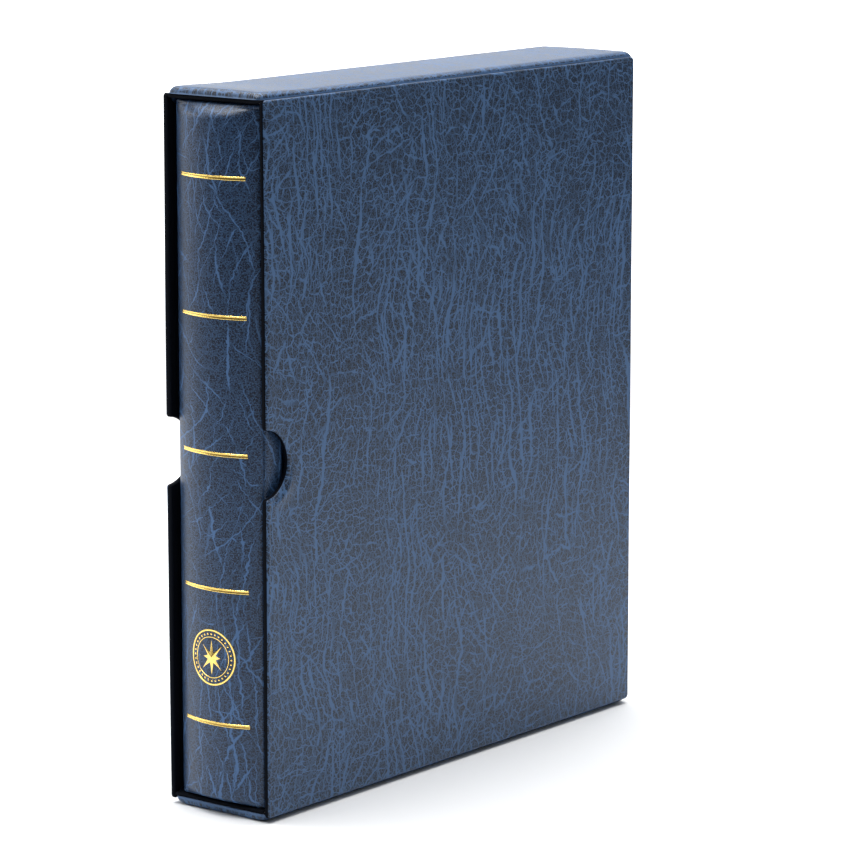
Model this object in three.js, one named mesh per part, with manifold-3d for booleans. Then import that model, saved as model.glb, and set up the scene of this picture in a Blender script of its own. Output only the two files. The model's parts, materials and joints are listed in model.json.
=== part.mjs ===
// A coin album: a ring binder with a rounded spine, standing in its open-fronted slipcase.
//
// Millimetres, +Z up. X runs through the thickness, Y from the mouth of the slipcase to its closed back.
// While the pieces are made, y = 0 is the mouth of the slipcase; the last group moves everything so that the
// origin is the middle of the object's footprint, on the surface that it stands on.
//
// The slipcase is two side panels and a U of three boards (top, back, bottom), with a padded strip run
// round the U. Each board is covered in leatherette that turns in over its edges, and lined with black paper.
// The binder is two cover boards and a curved spine board in one leatherette cover, hinged on cloth strips.
// A four-ring mechanism is riveted to the spine: two blades under a sprung rail carry the half rings, and a
// lever at each end of the rail tips the blades to open them. Pocket pages and interleaves hang on the rings.

import * as THREE from 'three';
import { mergeVertices } from 'three/addons/utils/BufferGeometryUtils.js';
import Module from 'manifold-3d';

const wasm = await Module();
wasm.setup();

// ---------------------------------------------------------------- driving dimensions

const GLUE = 0.05; // the glue line between two glued layers
const SKIN = 0.4; // leatherette

// Slipcase
const CASE_HALF = 25.2; // half of the thickness over the side panels
const PANEL_DEPTH = 238;
const PANEL_HEIGHT = 275;
const PANEL_FOOT = 2.2; // the side panels end this far above the floor
const PANEL_CORNER = 2;
const PANEL_BOARD = 1.4;
const CASE_TURN_IN = 12;
const CASE_LINING = 0.2;
const CASE_BOARD = 1.2; // top, back and bottom boards
const NOTCH_RADIUS = 13.3; // the half-round thumb notch in each side panel
const NOTCH_SETBACK = -0.5; // y of the notch's centre
const STRIP_HALF = 23.2; // half of the padded strip's width
const STRIP = 2.6; // its thickness on the top and the back
const STRIP_FOOT = 3.3; // and under the slipcase, where it is let in between the panels
const STRIP_EDGE = 0.8; // the strip's rounded edges
const STRIP_FRONT = 0.2;

// Binder
const ALBUM_HALF = 21.6;
const ALBUM_HEIGHT = 270.5;
const ALBUM_FOOT = 4.9; // height of the binder's lower edge over the floor
const FORE_EDGE = 235.3; // y of the covers' free edges
const SPINE_APEX = -3.7; // y of the foremost line of the rounded spine
const SPINE_RADIUS = 37;
const SHOULDER_RADIUS = 2.5; // between the rounded spine and each cover
const COVER_BOARD = 1.8;
const COVER_TURN_IN = 12;
const COVER_LINING = 0.15;
const LINING_SETBACK = 4; // both linings stop this far short of the edges
const SPINE_FLANGE_END = 13; // the spine board's side flanges end here
const COVER_BOARD_START = 19; // and the cover boards start here, so the gap between them is the hinge
const HINGE_STRIP = 0.3;
const HINGE_STRIP_REACH = 5; // how far a hinge strip laps onto the board on each side

// Gilding on the spine
const FOIL = 0.1;
const BAND_HALF_LENGTH = 15.9; // measured straight across
const BAND_HEIGHT = 1.5;
const BAND_PITCH = 52.7;
const BAND_COUNT = 5;
const BANDS_RISE = 2; // the middle band is this far above the middle of the binder
const MEDALLION_RADIUS = 11;
const MEDALLION_BELOW = 77.5; // below the middle of the binder

// Ring mechanism
const RING_OFFSETS = [-77.5, -32.5, 32.5, 77.5]; // 45, 65 and 45 mm apart
const RING_RADIUS = 13.5; // of the wire's centreline
const WIRE_RADIUS = 1.5;
const RING_CENTRE_Y = 14.64;
const RING_LEG_ANGLE = -25; // degrees; below it the wire bends in to its blade
const RING_FOOT = new THREE.Vector2(5.6, 4.38); // the end of the wire, on the blade
const TIP_GAP = 0.25; // each half ring stops this far from the middle plane
const RAIL_HALF_LENGTH = 92;
const RAIL_HALF_WIDTH = 10;
const RAIL_BASE_Y = 0.9;
const RAIL_CROWN_Y = 7;
const RAIL_SHEET = 0.8;
const RAIL_LIP_INNER = 7.8; // x of the inner edge of the folded lips
const BLADE_HALF_LENGTH = 90.5;
const BLADE_SHEET = 0.9;
const BLADE_PIVOT = new THREE.Vector2(7.3, 2.5); // the blade's outer edge, seated in the rail
const BLADE_INNER_X = 0.4;
const BLADE_TILT = 6; // degrees that a closed blade dips towards the spine
const RIVET_OFFSET = 55;
const RIVET_RADIUS = 1.8;
const RIVET_HOLE = 2.1;
const LEVER_PIVOT_Y = 3.6;
const LEVER_PIVOT_OFFSET = 94.2;
const LEVER_HALF_WIDTH = 6;
const LEVER_HUB = 1.9;
const PIN_RADIUS = 0.8;
const PIN_HOLE = 1.05;
const EAR_INNER = 6.4; // x of the rail's ears, which hold the lever pins
const EAR_OUTER = 7.4;

// Pages
const PAGE_WIDTH = 202;
const PAGE_HEIGHT = 252;
const PAGE_THICKNESS = 0.5;
const INTERLEAF_THICKNESS = 0.35;
const PAGE_COUNT = 4; // pocket pages, each followed by an interleaf
const SHEET_PITCH = 1.5;
const HOLE_RADIUS = 3.25;
const HOLE_LEAD = 1.0; // a hole's centre lies this far beyond the wire's
const HOLE_MARGIN = 8; // from a page's bound edge to the centre of its holes

// ---------------------------------------------------------------- places that follow from them

const PANEL_TOP = PANEL_FOOT + PANEL_HEIGHT;
const PANEL_MIDDLE = PANEL_FOOT + PANEL_HEIGHT / 2;
const PANEL_INNER = CASE_HALF - 2 * SKIN - PANEL_BOARD - 2 * GLUE; // inner face of the turned-in cover
const STRIP_GAP = 0.1; // the strip clears the panels' edges by this
const STRIP_TOP = PANEL_TOP + STRIP_GAP + STRIP;
const STRIP_BACK = PANEL_DEPTH + STRIP_GAP + STRIP;
const STRIP_CORNER = PANEL_CORNER + STRIP_GAP + STRIP;
const STRIP_INNER_CORNER = PANEL_CORNER - 0.5;
const FLOOR_BOARD_LOW = STRIP_FOOT + GLUE;
const ROOF_BOARD_LOW = PANEL_TOP - CASE_BOARD;
const BACK_BOARD_FRONT = PANEL_DEPTH - STRIP_GAP - CASE_BOARD;
const CASE_BOARD_HALF = PANEL_INNER - GLUE - CASE_LINING - GLUE; // the boards of the U fit between the linings
const ALBUM_TOP = ALBUM_FOOT + ALBUM_HEIGHT;
const ALBUM_MIDDLE = ALBUM_FOOT + ALBUM_HEIGHT / 2;
const BOARD_OUTER = SKIN + GLUE; // depths below the binder's outer surface
const BOARD_INNER = BOARD_OUTER + COVER_BOARD;
const TURN_IN_OUTER = BOARD_INNER + GLUE;
const TURN_IN_INNER = TURN_IN_OUTER + SKIN;
const LINING_OUTER = TURN_IN_INNER + GLUE;
const LINING_INNER = LINING_OUTER + COVER_LINING;
const MIDDLE_Y = (SPINE_APEX - GLUE - FOIL + STRIP_BACK) / 2;
const BEYOND = 1; // a cutting shape runs this far past what it cuts

const ARC_STEPS = 6;

// ---------------------------------------------------------------- materials

const material = (color, roughness, metalness = 0) =>
  new THREE.MeshStandardMaterial({ color, roughness, metalness });

const LEATHERETTE = material('#33486a', 0.6);
const GREYBOARD = material('#8b8477', 0.95);
const BLACK_PAPER = material('#0d0f14', 0.9);
const ENDPAPER = material('#1a2438', 0.85);
const CLOTH = material('#15181f', 0.95);
const NICKEL = material('#c9ccd0', 0.18, 1);
const STEEL = material('#a9adb2', 0.3, 1);
const GOLD_FOIL = material('#d9b456', 0.3, 1);
const FILM = material('#dfe9f0', 0.12);
const BLACK_CARD = material('#121315', 0.9);

// ---------------------------------------------------------------- solids

// Joining and cutting need one closed surface with shared corners.
function solidOf(geometry) {
  const bare = new THREE.BufferGeometry();
  bare.setAttribute('position', geometry.getAttribute('position'));
  bare.setIndex(geometry.index);
  const merged = mergeVertices(bare, 1e-4);
  return new wasm.Manifold(
    new wasm.Mesh({
      numProp: 3,
      vertProperties: new Float32Array(merged.attributes.position.array),
      triVerts: new Uint32Array(merged.index.array),
    }),
  );
}

function geometryOf(solid) {
  const mesh = solid.getMesh();
  const geometry = new THREE.BufferGeometry();
  geometry.setAttribute('position', new THREE.BufferAttribute(mesh.vertProperties, 3));
  geometry.setIndex(new THREE.BufferAttribute(mesh.triVerts, 1));
  geometry.computeVertexNormals();
  return geometry;
}

function cut(geometry, ...tools) {
  const left = tools.reduce((solid, tool) => solid.subtract(solidOf(tool)), solidOf(geometry));
  return geometryOf(left);
}

function join(...geometries) {
  const whole = geometries.map(solidOf).reduce((sum, solid) => sum.add(solid));
  return geometryOf(whole);
}

function box([x0, x1], [y0, y1], [z0, z1]) {
  return new THREE.BoxGeometry(x1 - x0, y1 - y0, z1 - z0).translate(
    (x0 + x1) / 2,
    (y0 + y1) / 2,
    (z0 + z1) / 2,
  );
}

// An outline in X and Y, from z0 up to z1.
function column(shape, z0, z1) {
  return new THREE.ExtrudeGeometry(shape, {
    depth: z1 - z0,
    bevelEnabled: false,
    curveSegments: ARC_STEPS,
  }).translate(0, 0, z0);
}

// Turns geometry made in a plane so that its x, y and z run along Y, Z and X.
const SIDEWAYS = new THREE.Matrix4().makeBasis(
  new THREE.Vector3(0, 1, 0),
  new THREE.Vector3(0, 0, 1),
  new THREE.Vector3(1, 0, 0),
);

// An outline in Y and Z, from x0 to x1.
function slab(shape, x0, x1) {
  return new THREE.ExtrudeGeometry(shape, {
    depth: x1 - x0,
    bevelEnabled: false,
    curveSegments: ARC_STEPS,
  })
    .translate(0, 0, x0)
    .applyMatrix4(SIDEWAYS);
}

// A round bar along X, Y or Z through (x, y, z), its middle.
function bar(radius, length, axis, [x, y, z], sides = 16) {
  const geometry = new THREE.CylinderGeometry(radius, radius, length, sides);
  if (axis === 'x') geometry.rotateZ(Math.PI / 2);
  if (axis === 'z') geometry.rotateX(Math.PI / 2);
  return geometry.translate(x, y, z);
}

// Cuts from a piece what lies inside the outline of a rivet's hole.
function withRivetHoles(geometry, radius) {
  const holes = [-RIVET_OFFSET, RIVET_OFFSET].map((offset) =>
    bar(radius, 40, 'y', [0, 0, ALBUM_MIDDLE + offset]),
  );
  return cut(geometry, ...holes);
}

function piece(name, geometry, look) {
  const mesh = new THREE.Mesh(geometry, look);
  mesh.name = name;
  return mesh;
}

// ---------------------------------------------------------------- slipcase

// A side panel's outline in Y and Z, drawn in from its edges by inset, with the thumb notch in its front edge.
function panelOutline(inset) {
  const r = Math.max(PANEL_CORNER - inset, 0.2);
  const front = inset;
  const back = PANEL_DEPTH - inset;
  const low = PANEL_FOOT + inset;
  const high = PANEL_TOP - inset;
  const notch = NOTCH_RADIUS + inset;
  const mouth = Math.acos((front - NOTCH_SETBACK) / notch); // half of the notch's angle at the front edge
  const outline = new THREE.Shape();
  outline.absarc(back - r, low + r, r, -Math.PI / 2, 0);
  outline.absarc(back - r, high - r, r, 0, Math.PI / 2);
  outline.absarc(front + r, high - r, r, Math.PI / 2, Math.PI);
  outline.absarc(NOTCH_SETBACK, PANEL_MIDDLE, notch, mouth, -mouth, true);
  outline.absarc(front + r, low + r, r, Math.PI, Math.PI * 1.5);
  outline.closePath();
  return outline;
}

// The three layers of a side panel. side is 1 for the panel at +X and -1 for the one at -X.
function sidePanel(name, side) {
  const across = (a, b) => (side > 0 ? [a, b] : [-b, -a]);
  const boardOuter = CASE_HALF - SKIN - GLUE;
  const turnedIn = PANEL_INNER + SKIN;
  const cover = cut(
    slab(panelOutline(0), ...across(PANEL_INNER, CASE_HALF)),
    slab(panelOutline(SKIN), ...across(turnedIn, CASE_HALF - SKIN)),
    slab(panelOutline(CASE_TURN_IN), ...across(PANEL_INNER - BEYOND, turnedIn + SKIN)),
  );
  const board = slab(panelOutline(SKIN + GLUE), ...across(boardOuter - PANEL_BOARD, boardOuter));
  const liningOuter = PANEL_INNER - GLUE;
  const lining = slab(panelOutline(LINING_SETBACK), ...across(liningOuter - CASE_LINING, liningOuter));
  return [
    piece(`case_cover_${name}`, cover, LEATHERETTE),
    piece(`case_board_${name}`, board, GREYBOARD),
    piece(`case_lining_${name}`, lining, BLACK_PAPER),
  ];
}

// A U in Y and Z, open towards the mouth, with its two back corners rounded on the outside and the inside.
function uOutline(front, outer, inner) {
  const outline = new THREE.Shape();
  outline.absarc(outer.back - outer.corner, outer.low + outer.corner, outer.corner, -Math.PI / 2, 0);
  outline.absarc(outer.back - outer.corner, outer.high - outer.corner, outer.corner, 0, Math.PI / 2);
  outline.lineTo(front, outer.high);
  outline.lineTo(front, inner.high);
  outline.absarc(inner.back - inner.corner, inner.high - inner.corner, inner.corner, Math.PI / 2, 0, true);
  outline.absarc(inner.back - inner.corner, inner.low + inner.corner, inner.corner, 0, -Math.PI / 2, true);
  outline.lineTo(front, inner.low);
  outline.lineTo(front, outer.low);
  outline.closePath();
  return outline;
}

// The padded strip has rounded edges along both of its sides, and makes room for the side panels.
function paddedStrip() {
  const edge = STRIP_EDGE;
  const outer = {
    low: edge,
    back: STRIP_BACK - edge,
    high: STRIP_TOP - edge,
    corner: STRIP_CORNER - edge,
  };
  const inner = {
    low: STRIP_FOOT - edge,
    back: PANEL_DEPTH + STRIP_GAP + edge,
    high: PANEL_TOP + STRIP_GAP + edge,
    corner: STRIP_INNER_CORNER + edge,
  };
  const padded = new THREE.ExtrudeGeometry(uOutline(STRIP_FRONT + edge, outer, inner), {
    depth: 2 * (STRIP_HALF - edge),
    bevelThickness: edge,
    bevelSize: edge,
    bevelSegments: 3,
    curveSegments: ARC_STEPS,
  })
    .translate(0, 0, edge - STRIP_HALF)
    .applyMatrix4(SIDEWAYS);
  const panelRoom = panelOutline(-STRIP_GAP);
  const geometry = cut(
    padded,
    slab(panelRoom, PANEL_INNER - STRIP_GAP, CASE_HALF),
    slab(panelRoom, -CASE_HALF, STRIP_GAP - PANEL_INNER),
  );
  return piece('case_strip', geometry, LEATHERETTE);
}

function caseBoards() {
  const width = [-CASE_BOARD_HALF, CASE_BOARD_HALF];
  const depth = [STRIP_FRONT * 2, BACK_BOARD_FRONT - GLUE];
  const floor = [FLOOR_BOARD_LOW, FLOOR_BOARD_LOW + CASE_BOARD];
  const roof = [ROOF_BOARD_LOW, PANEL_TOP];
  const back = [BACK_BOARD_FRONT, PANEL_DEPTH - STRIP_GAP];
  return [
    piece('case_board_bottom', box(width, depth, floor), GREYBOARD),
    piece('case_board_top', box(width, depth, roof), GREYBOARD),
    piece('case_board_back', box(width, back, [floor[1], roof[0]]), GREYBOARD),
  ];
}

// One sheet lines the three boards of the U.
function caseLiningBand() {
  const outer = {
    low: FLOOR_BOARD_LOW + CASE_BOARD + GLUE,
    back: BACK_BOARD_FRONT - GLUE,
    high: ROOF_BOARD_LOW - GLUE,
    corner: CASE_LINING * 2,
  };
  const inner = {
    low: outer.low + CASE_LINING,
    back: outer.back - CASE_LINING,
    high: outer.high - CASE_LINING,
    corner: CASE_LINING,
  };
  const half = CASE_BOARD_HALF - GLUE;
  return piece('case_lining_band', slab(uOutline(STRIP_FRONT * 3, outer, inner), -half, half), BLACK_PAPER);
}

// ---------------------------------------------------------------- binder covers

// The closed binder's outline at a depth below its outer surface: down the -X cover to the spine, round the
// spine, up the +X cover to y = end and straight back across.
function bookOutline(depth, end) {
  const side = ALBUM_HALF - depth;
  const shoulder = Math.max(SHOULDER_RADIUS - depth, 0.3);
  const radius = SPINE_RADIUS - depth;
  const centreY = SPINE_APEX + SPINE_RADIUS;
  const shoulderX = side - shoulder;
  const reach = radius - shoulder;
  const turn = Math.asin(shoulderX / reach); // from the apex to where the shoulder starts
  const shoulderY = centreY - reach * Math.cos(turn);
  const down = -Math.PI / 2;
  const outline = new THREE.Shape();
  outline.absarc(-shoulderX, shoulderY, shoulder, Math.PI, Math.PI * 1.5 - turn);
  outline.absarc(0, centreY, radius, down - turn, down + turn);
  outline.absarc(shoulderX, shoulderY, shoulder, down + turn, 0);
  outline.lineTo(side, end);
  outline.lineTo(-side, end);
  outline.closePath();
  return outline;
}

// The binder's U between two depths below its outer surface, with its arms ending at y = end.
function bookShell(outer, inner, end, z0, z1) {
  return cut(
    column(bookOutline(outer, end), z0, z1),
    column(bookOutline(inner, end + BEYOND), z0 - BEYOND, z1 + BEYOND),
  );
}

// The cover is one leatherette sheet, turned in over the boards at the head, the tail and both fore-edges.
function albumCover() {
  const cover = cut(
    bookShell(0, TURN_IN_INNER, FORE_EDGE, ALBUM_FOOT, ALBUM_TOP),
    bookShell(SKIN, TURN_IN_OUTER, FORE_EDGE - SKIN, ALBUM_FOOT + SKIN, ALBUM_TOP - SKIN),
    bookShell(
      TURN_IN_OUTER - SKIN / 2,
      TURN_IN_INNER + BEYOND,
      FORE_EDGE - COVER_TURN_IN,
      ALBUM_FOOT + COVER_TURN_IN,
      ALBUM_TOP - COVER_TURN_IN,
    ),
  );
  return piece('album_cover', cover, LEATHERETTE);
}

function coverBoard(name, side) {
  const edges = [ALBUM_HALF - BOARD_INNER, ALBUM_HALF - BOARD_OUTER];
  const across = side > 0 ? edges : [-edges[1], -edges[0]];
  const board = box(
    across,
    [COVER_BOARD_START, FORE_EDGE - BOARD_OUTER],
    [ALBUM_FOOT + BOARD_OUTER, ALBUM_TOP - BOARD_OUTER],
  );
  return piece(name, board, GREYBOARD);
}

function spineBoard() {
  const low = ALBUM_FOOT + BOARD_OUTER;
  const high = ALBUM_TOP - BOARD_OUTER;
  const board = bookShell(BOARD_OUTER, BOARD_INNER, SPINE_FLANGE_END, low, high);
  return piece('spine_board', withRivetHoles(board, RIVET_HOLE), GREYBOARD);
}

// A cloth strip bridges each hinge, glued to the boards between the turned-in head and tail.
function hingeStrip(name, side) {
  const outer = ALBUM_HALF - TURN_IN_OUTER;
  const edges = [outer - HINGE_STRIP, outer];
  const across = side > 0 ? edges : [-edges[1], -edges[0]];
  const inset = COVER_TURN_IN + 0.6;
  const strip = box(
    across,
    [SPINE_FLANGE_END - HINGE_STRIP_REACH, COVER_BOARD_START + HINGE_STRIP_REACH],
    [ALBUM_FOOT + inset, ALBUM_TOP - inset],
  );
  return piece(name, strip, CLOTH);
}

function albumLining() {
  const paper = bookShell(
    LINING_OUTER,
    LINING_INNER,
    FORE_EDGE - LINING_SETBACK,
    ALBUM_FOOT + LINING_SETBACK,
    ALBUM_TOP - LINING_SETBACK,
  );
  return piece('album_lining', withRivetHoles(paper, RIVET_HOLE), ENDPAPER);
}

// ---------------------------------------------------------------- gilding

// Foil on the rounded spine, out to halfLength on each side of the middle.
function spineFoil(halfLength, z0, z1) {
  const centreY = SPINE_APEX + SPINE_RADIUS;
  const inner = SPINE_RADIUS + GLUE;
  const outer = inner + FOIL;
  const turn = Math.asin(halfLength / inner);
  const down = -Math.PI / 2;
  const outline = new THREE.Shape();
  outline.absarc(0, centreY, outer, down - turn, down + turn);
  outline.absarc(0, centreY, inner, down + turn, down - turn, true);
  outline.closePath();
  return column(outline, z0, z1);
}

function foilBand(index) {
  const middle = ALBUM_MIDDLE + BANDS_RISE + (index - (BAND_COUNT - 1) / 2) * BAND_PITCH;
  const foil = spineFoil(BAND_HALF_LENGTH, middle - BAND_HEIGHT / 2, middle + BAND_HEIGHT / 2);
  return piece(`foil_band_${index + 1}`, foil, GOLD_FOIL);
}

// A plain coin, printed in the same foil.
function spineMedallion() {
  const middle = ALBUM_MIDDLE - MEDALLION_BELOW;
  const reach = MEDALLION_RADIUS + BEYOND;
  const foil = solidOf(spineFoil(reach, middle - reach, middle + reach));
  const disc = solidOf(bar(MEDALLION_RADIUS, 20, 'y', [0, SPINE_APEX, middle], 40));
  return piece('spine_medallion', geometryOf(foil.intersect(disc)), GOLD_FOIL);
}

// ---------------------------------------------------------------- ring mechanism

// Radius and centre of the rail's arch, from its width, base and crown.
const RAIL_RISE = RAIL_CROWN_Y - RAIL_BASE_Y;
const RAIL_RADIUS = (RAIL_HALF_WIDTH ** 2 + RAIL_RISE ** 2) / (2 * RAIL_RISE);
const RAIL_CENTRE_Y = RAIL_CROWN_Y - RAIL_RADIUS;

// The rail is an arched channel of spring steel with lips folded in under the blades' outer edges.
function railOutline() {
  const inner = RAIL_RADIUS - RAIL_SHEET;
  const lipTop = RAIL_BASE_Y + RAIL_SHEET;
  const outerTurn = Math.acos(RAIL_HALF_WIDTH / RAIL_RADIUS);
  const innerTurn = Math.asin((lipTop - RAIL_CENTRE_Y) / inner);
  const outline = new THREE.Shape();
  outline.absarc(0, RAIL_CENTRE_Y, RAIL_RADIUS, outerTurn, Math.PI - outerTurn);
  outline.lineTo(-RAIL_LIP_INNER, RAIL_BASE_Y);
  outline.lineTo(-RAIL_LIP_INNER, lipTop);
  outline.absarc(0, RAIL_CENTRE_Y, inner, Math.PI - innerTurn, innerTurn, true);
  outline.lineTo(RAIL_LIP_INNER, lipTop);
  outline.lineTo(RAIL_LIP_INNER, RAIL_BASE_Y);
  outline.closePath();
  return outline;
}

function ringRail() {
  const arch = column(railOutline(), ALBUM_MIDDLE - RAIL_HALF_LENGTH, ALBUM_MIDDLE + RAIL_HALF_LENGTH);
  const earRoot = 0.5;
  const earReach = LEVER_PIVOT_OFFSET + LEVER_HUB;
  const ears = [-1, 1].flatMap((end) =>
    [-1, 1].map((side) => {
      const xs = [side * EAR_INNER, side * EAR_OUTER].sort((a, b) => a - b);
      const offsets = [end * (RAIL_HALF_LENGTH - earRoot), end * earReach].sort((a, b) => a - b);
      return box(xs, [1.6, LEVER_PIVOT_Y + LEVER_HUB], offsets.map((offset) => ALBUM_MIDDLE + offset));
    }),
  );
  const slotHalf = WIRE_RADIUS + 0.6;
  const slots = RING_OFFSETS.flatMap((offset) =>
    [-1, 1].map((side) => {
      const xs = [side * 4.5, side * (RAIL_HALF_WIDTH + BEYOND)].sort((a, b) => a - b);
      const middle = ALBUM_MIDDLE + offset;
      return box(xs, [RAIL_BASE_Y + RAIL_SHEET + 0.2, RAIL_CROWN_Y + BEYOND], [middle - slotHalf, middle + slotHalf]);
    }),
  );
  const pinHoles = [-1, 1].map((end) =>
    bar(PIN_HOLE, 20, 'x', [0, LEVER_PIVOT_Y, ALBUM_MIDDLE + end * LEVER_PIVOT_OFFSET]),
  );
  const rail = withRivetHoles(cut(join(arch, ...ears), ...slots, ...pinHoles), RIVET_HOLE);
  return piece('ring_rail', rail, STEEL);
}

function rivet(name, offset) {
  const head = new THREE.LatheGeometry(
    [
      new THREE.Vector2(0, SPINE_APEX + BOARD_OUTER + 0.2),
      new THREE.Vector2(RIVET_RADIUS, SPINE_APEX + BOARD_OUTER + 0.2),
      new THREE.Vector2(RIVET_RADIUS, RAIL_CROWN_Y + 0.1),
      new THREE.Vector2(3.6, RAIL_CROWN_Y + 0.1),
      new THREE.Vector2(3.2, RAIL_CROWN_Y + 0.8),
      new THREE.Vector2(1.8, RAIL_CROWN_Y + 1.3),
      new THREE.Vector2(0, RAIL_CROWN_Y + 1.45),
    ],
    16,
  );
  return piece(name, head.translate(0, 0, ALBUM_MIDDLE + offset), NICKEL);
}

// A blade is made flat with its outer edge on the pivot, then dipped towards the spine. side is -1 for the
// blade at -X and 1 for the one at +X.
function blade(name, side) {
  const tilt = side * THREE.MathUtils.degToRad(BLADE_TILT);
  const plate = box(
    [-0.1, BLADE_PIVOT.x - BLADE_INNER_X],
    [-BLADE_SHEET / 2, BLADE_SHEET / 2],
    [-BLADE_HALF_LENGTH, BLADE_HALF_LENGTH],
  );
  const clearances = [-RIVET_OFFSET, RIVET_OFFSET].map((offset) =>
    bar(RIVET_HOLE + 0.9, 6, 'y', [BLADE_PIVOT.x, 0, offset]),
  );
  const flat = cut(plate, ...clearances);
  if (side > 0) flat.rotateZ(Math.PI);
  flat.rotateZ(tilt);
  flat.translate(side * BLADE_PIVOT.x, BLADE_PIVOT.y, ALBUM_MIDDLE);
  return piece(name, flat, STEEL);
}

// The wire's centreline for the half ring at +X: down from the tip, then in to the blade.
function halfRingPath(side) {
  const start = Math.acos(TIP_GAP / RING_RADIUS);
  const leg = THREE.MathUtils.degToRad(RING_LEG_ANGLE);
  const at = (angle) =>
    new THREE.Vector3(
      side * RING_RADIUS * Math.cos(angle),
      RING_CENTRE_Y + RING_RADIUS * Math.sin(angle),
      0,
    );
  const arcSteps = 9;
  const points = [];
  for (let i = 0; i <= arcSteps; i += 1) {
    points.push(at(start + ((leg - start) * i) / arcSteps));
  }
  points.push(new THREE.Vector3(side * 10.6, 6.2, 0));
  points.push(new THREE.Vector3(side * 8.4, 5.0, 0));
  points.push(new THREE.Vector3(side * RING_FOOT.x, RING_FOOT.y, 0));
  return new THREE.CatmullRomCurve3(points, false, 'centripetal');
}

function wireSection(sides) {
  const section = new THREE.Shape();
  for (let i = 0; i < sides; i += 1) {
    const angle = (2 * Math.PI * i) / sides;
    const x = WIRE_RADIUS * Math.cos(angle);
    const y = WIRE_RADIUS * Math.sin(angle);
    if (i === 0) section.moveTo(x, y);
    else section.lineTo(x, y);
  }
  section.closePath();
  return section;
}

function halfRing(name, side, offset) {
  const wire = new THREE.ExtrudeGeometry(wireSection(8), {
    extrudePath: halfRingPath(side),
    steps: 14,
    bevelEnabled: false,
  });
  return piece(name, wire.translate(0, 0, ALBUM_MIDDLE + offset), NICKEL);
}

// A lever is a bent plate: a hub on its pin, a finger tab beyond the rail and a tongue under the blades.
// end is 1 for the lever at the head and -1 for the one at the tail.
function lever(name, end) {
  const along = (offset) => end * offset;
  const tab = new THREE.Shape();
  tab.moveTo(0.6, 0.4);
  tab.lineTo(12.4, 7.6);
  tab.absarc(12.9, 7.0, 0.75, Math.PI * 0.67, -Math.PI * 0.3, true);
  tab.lineTo(2.2, -0.6);
  tab.lineTo(0.6, -1.2);
  tab.closePath();
  const tongue = new THREE.Shape();
  tongue.moveTo(-1.4, -0.6);
  tongue.lineTo(1.4, -0.6);
  tongue.lineTo(0.2, -3.6);
  tongue.lineTo(-4.2, -3.6);
  tongue.lineTo(-4.2, -2.95);
  tongue.lineTo(-1.5, -2.95);
  tongue.closePath();
  // Both outlines are drawn as (distance beyond the pivot, height off the spine).
  const place = new THREE.Matrix4().makeBasis(
    new THREE.Vector3(0, 0, 1),
    new THREE.Vector3(0, 1, 0),
    new THREE.Vector3(-1, 0, 0),
  );
  const plateOf = (shape, half) =>
    new THREE.ExtrudeGeometry(shape, { depth: 2 * half, bevelEnabled: false, curveSegments: 6 })
      .translate(0, 0, -half)
      .applyMatrix4(place);
  const hub = bar(LEVER_HUB, 2 * LEVER_HALF_WIDTH, 'x', [0, 0, 0], 20);
  const whole = cut(
    join(hub, plateOf(tab, LEVER_HALF_WIDTH), plateOf(tongue, LEVER_HALF_WIDTH - 1.5)),
    bar(PIN_HOLE, 20, 'x', [0, 0, 0]),
  );
  if (end < 0) whole.rotateZ(Math.PI).rotateX(Math.PI);
  whole.translate(0, LEVER_PIVOT_Y, ALBUM_MIDDLE + along(LEVER_PIVOT_OFFSET));
  return piece(name, whole, NICKEL);
}

function leverPin(name, end) {
  const middle = [0, LEVER_PIVOT_Y, ALBUM_MIDDLE + end * LEVER_PIVOT_OFFSET];
  return piece(name, bar(PIN_RADIUS, 2 * EAR_OUTER + 0.8, 'x', middle, 14), STEEL);
}

// ---------------------------------------------------------------- pages

// A sheet at x, punched for the four rings. Its holes lie a little beyond the wire, which leaves the half
// rings room to swing open through them.
function sheet(name, x, thickness, look) {
  const wireY = RING_CENTRE_Y + Math.sqrt(RING_RADIUS ** 2 - x ** 2);
  const holeY = wireY + HOLE_LEAD;
  const y0 = holeY - HOLE_MARGIN;
  const z0 = ALBUM_MIDDLE - PAGE_HEIGHT / 2;
  const outline = new THREE.Shape();
  outline.moveTo(y0, z0);
  outline.lineTo(y0 + PAGE_WIDTH, z0);
  outline.lineTo(y0 + PAGE_WIDTH, z0 + PAGE_HEIGHT);
  outline.lineTo(y0, z0 + PAGE_HEIGHT);
  outline.closePath();
  RING_OFFSETS.forEach((offset) => {
    const hole = new THREE.Path();
    hole.absarc(holeY, ALBUM_MIDDLE + offset, HOLE_RADIUS, 0, Math.PI * 2, true);
    outline.holes.push(hole);
  });
  const geometry = new THREE.ExtrudeGeometry(outline, {
    depth: thickness,
    bevelEnabled: false,
    curveSegments: ARC_STEPS,
  })
    .translate(0, 0, x - thickness / 2)
    .applyMatrix4(SIDEWAYS);
  return piece(name, geometry, look);
}

function pages() {
  const sheets = [];
  const first = -SHEET_PITCH * (PAGE_COUNT - 0.5);
  for (let i = 0; i < PAGE_COUNT; i += 1) {
    const x = first + 2 * i * SHEET_PITCH;
    sheets.push(sheet(`coin_page_${i + 1}`, x, PAGE_THICKNESS, FILM));
    sheets.push(sheet(`interleaf_${i + 1}`, x + SHEET_PITCH, INTERLEAF_THICKNESS, BLACK_CARD));
  }
  return sheets;
}

// ---------------------------------------------------------------- assembly

const slipcase = new THREE.Group();
slipcase.add(
  ...sidePanel('right', 1),
  ...sidePanel('left', -1),
  ...caseBoards(),
  caseLiningBand(),
  paddedStrip(),
);

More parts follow.
